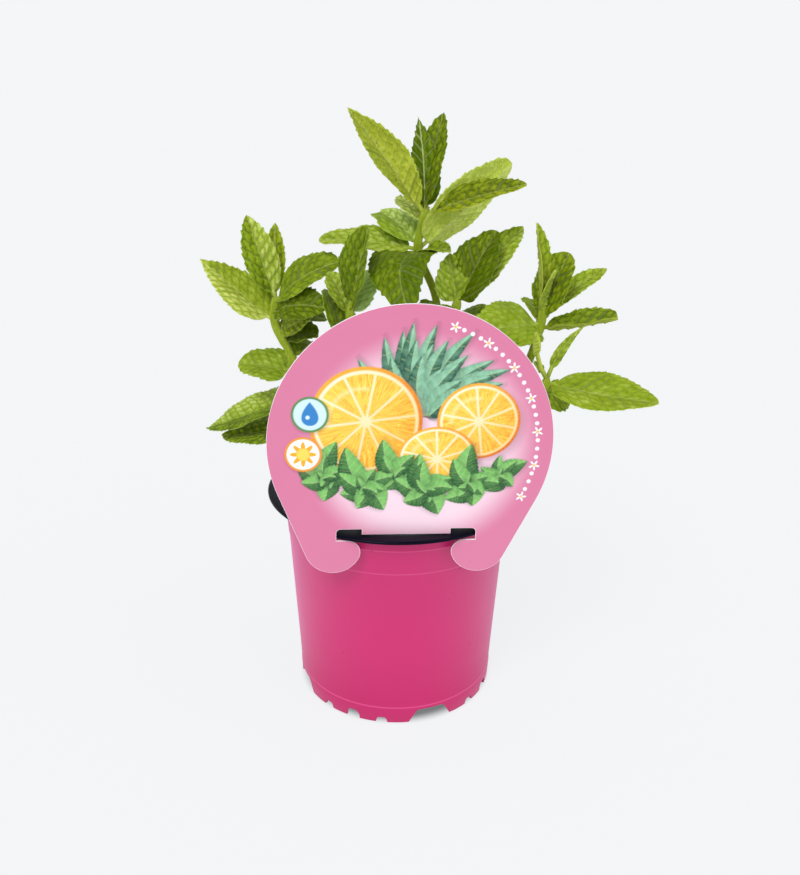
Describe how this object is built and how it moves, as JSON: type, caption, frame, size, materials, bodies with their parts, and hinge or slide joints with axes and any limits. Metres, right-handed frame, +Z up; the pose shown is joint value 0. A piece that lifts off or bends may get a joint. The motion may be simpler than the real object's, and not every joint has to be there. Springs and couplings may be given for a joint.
{
  "type": "potted mint plant",
  "caption": "Leafy mint stems in a tapered two-colour nursery pot of peat, with a round card label hooked over the pot's flange",
  "frame": {"origin": "on the surface the pot stands on, at the middle of the part's outline seen from above, which is the pot's axis", "axes": "+Z up along the pot's axis; the label faces -Y; +X to the viewer's right when the label is seen from the front"},
  "size_m": [0.1743, 0.105, 0.2317],
  "materials": {
    "pot_plastic": "moulded polypropylene, pink outside, near black inside and on the flange",
    "peat": null,
    "label_card": "printed card, satin",
    "mint_leaf": null
  },
  "bodies": {
    "root": {"pot": "pot_plastic", "peat": "peat", "label": "label_card", "stem_centre": "mint_leaf", "stem_centre_right": "mint_leaf", "stem_right": "mint_leaf", "stem_low_right": "mint_leaf", "stem_left": "mint_leaf", "stem_centre_left": "mint_leaf", "stem_low_left": "mint_leaf", "stem_back_left": "mint_leaf", "stem_back_right": "mint_leaf"}
  },
  "joints": []
}
